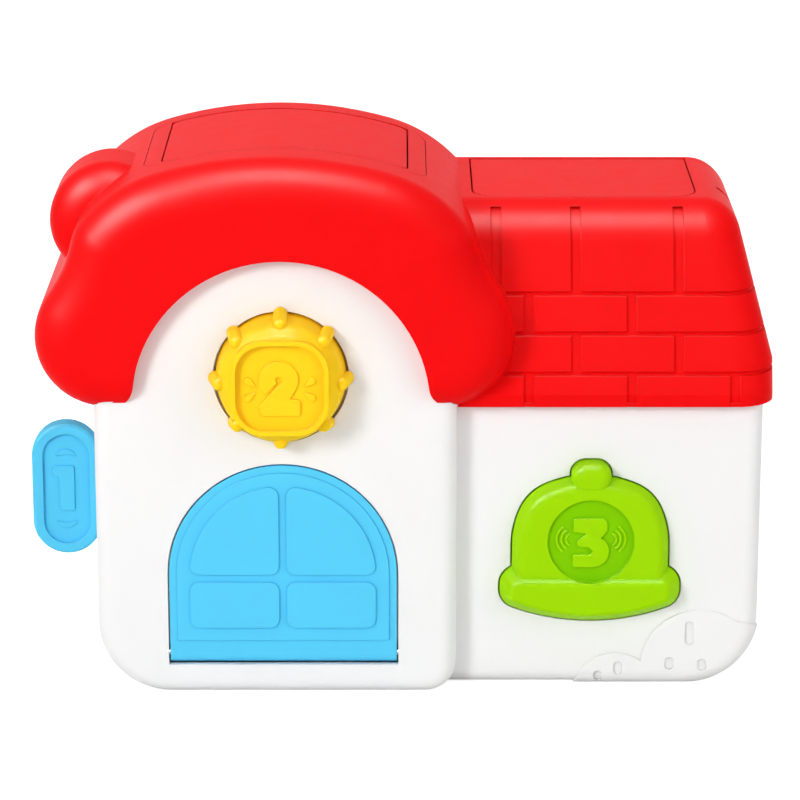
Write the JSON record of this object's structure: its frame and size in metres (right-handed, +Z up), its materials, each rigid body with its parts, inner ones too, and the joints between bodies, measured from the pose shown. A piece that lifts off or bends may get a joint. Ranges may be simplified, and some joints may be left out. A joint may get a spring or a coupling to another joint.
{
  "type": "pop-up animal toy",
  "caption": "Toddler's house-shaped toy: a turning knob, a bell push button and a side paddle each release a hinged cover over a pop-up animal; arched and hip roofs, moulded plastic",
  "frame": {"origin": "middle of the flat base, on the joint plane between the front and back shells", "axes": "+X along the front to the right as seen from the front, +Y from the front to the back, +Z up"},
  "size_m": [0.2378, 0.1104, 0.1734],
  "materials": {
    "house_white": "satin moulded plastic",
    "inner_white": "plain moulded plastic",
    "tub_white": "satin moulded plastic",
    "tub_red": "glossy moulded plastic",
    "roof_red": "glossy moulded plastic",
    "door_blue": "glossy moulded plastic",
    "knob_yellow": "glossy moulded plastic",
    "bell_green": "satin moulded plastic",
    "paddle_blue": "satin moulded plastic",
    "bear_brown": "satin moulded plastic",
    "rabbit_white": "satin moulded plastic",
    "chick_yellow": "satin moulded plastic",
    "snout_cream": "satin moulded plastic",
    "beak_orange": "satin moulded plastic",
    "steel": "zinc-plated steel"
  },
  "bodies": {
    "house": {"front_shell": "house_white", "back_shell": "house_white", "shell_screws": "steel", "roof_front": "roof_red", "roof_back": "roof_red", "roof_screws": "steel", "attic_tub": "roof_red", "side_tub": "tub_red", "tub_screws": "steel", "porch_tub": "tub_white", "porch_screws": "steel", "arch_lid_pin": "steel", "side_lid_pin": "steel", "door_pin": "steel", "latch_guide": "inner_white", "guide_screws": "steel", "knob_spring": "steel", "bell_spring": "steel", "paddle_spring": "steel"},
    "arch_cover": {"arch_lid": "roof_red", "arch_lid_spring": "steel", "bear": "bear_brown", "bear_snout": "snout_cream"},
    "side_cover": {"side_lid": "roof_red", "side_lid_spring": "steel", "rabbit": "rabbit_white", "rabbit_snout": "snout_cream"},
    "door_cover": {"door": "door_blue", "door_spring": "steel", "chick": "chick_yellow", "chick_beak": "beak_orange"},
    "knob_set": {"knob": "knob_yellow", "knob_shaft": "inner_white", "knob_screw": "steel"},
    "latch": {"arch_latch": "inner_white"},
    "bell": {"bell_button": "bell_green", "bell_arm": "inner_white", "bell_arm_screw": "steel"},
    "lever": {"paddle": "paddle_blue", "carriage": "inner_white", "paddle_screw": "steel"}
  },
  "joints": [
    {"name": "knob_turn", "type": "hinge", "parent": "house", "child": "knob_set", "pos_m": [-0.0462, -0.048, 0.1052], "axis": [0, 1, 0], "range_deg": [-45, 45], "stiffness_Nm_per_rad": 0.02},
    {"name": "latch_slide", "type": "slide", "parent": "house", "child": "latch", "axis": [1, 0, 0], "range_m": [-0.00378, 0.00378]},
    {"name": "arch_lid_hinge", "type": "hinge", "parent": "house", "child": "arch_cover", "pos_m": [-0.0452, 0.02, 0.16837], "axis": [-1, 0, 0], "range_deg": [0, 92]},
    {"name": "bell_push", "type": "slide", "parent": "house", "child": "bell", "axis": [0, 1, 0], "range_m": [0, 0.004], "stiffness_N_per_m": 300, "springref_m": -0.003, "deforming": ["bell_spring"]},
    {"name": "side_lid_hinge", "type": "hinge", "parent": "house", "child": "side_cover", "pos_m": [0.0492, 0.0316, 0.149], "axis": [-1, 0, 0], "range_deg": [0, 92]},
    {"name": "paddle_slide", "type": "slide", "parent": "house", "child": "lever", "axis": [0, 0, 1], "range_m": [-0.008, 0], "stiffness_N_per_m": 150, "springref_m": 0.006, "deforming": ["paddle_spring"]},
    {"name": "door_hinge", "type": "hinge", "parent": "house", "child": "door_cover", "pos_m": [-0.0462, -0.0482, 0.0134], "axis": [1, 0, 0], "range_deg": [0, 90]}
  ],
  "couplings": [
    {"joint": "latch_slide", "follows": "knob_turn", "m_per_rad": 0.0048}
  ]
}
